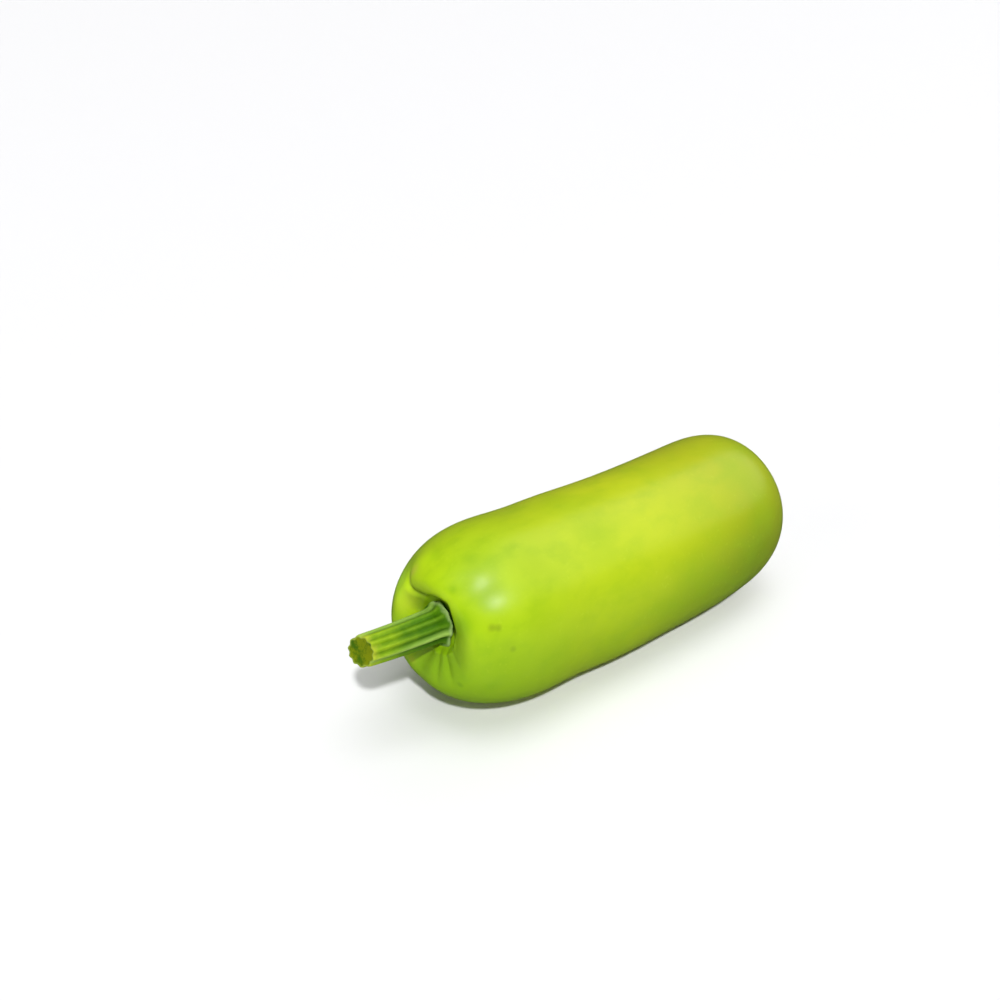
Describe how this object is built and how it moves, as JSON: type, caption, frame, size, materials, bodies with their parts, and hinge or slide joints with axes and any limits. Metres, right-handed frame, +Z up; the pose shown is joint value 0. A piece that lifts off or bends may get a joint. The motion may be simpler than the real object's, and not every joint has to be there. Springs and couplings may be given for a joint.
{
  "type": "bottle gourd",
  "caption": "Whole bottle gourd lying on its side: a long blunt pale green fruit, puckered round its ridged, slant-cut stem, with a small dry blossom scar at the far end.",
  "frame": {"origin": "on the surface that the gourd lies on, in the small flat under its body, below the middle of the fruit's length", "axes": "+X from the stem end towards the blossom end, +Z up, +Y across the fruit"},
  "size_m": [0.2805, 0.101, 0.0975],
  "materials": {
    "skin": "smooth waxy fruit skin with a satin gloss, yellow-green, greener round the stem and yellower at the blossom end",
    "stem_rind": "fresh green fibrous rind with pale ridges, darker furrows and a brown-green cut face",
    "dry_cork": "dry brown corky scar, matt"
  },
  "bodies": {
    "root": {"fruit": "skin", "stem": "stem_rind", "blossom_scar": "dry_cork"}
  },
  "joints": []
}
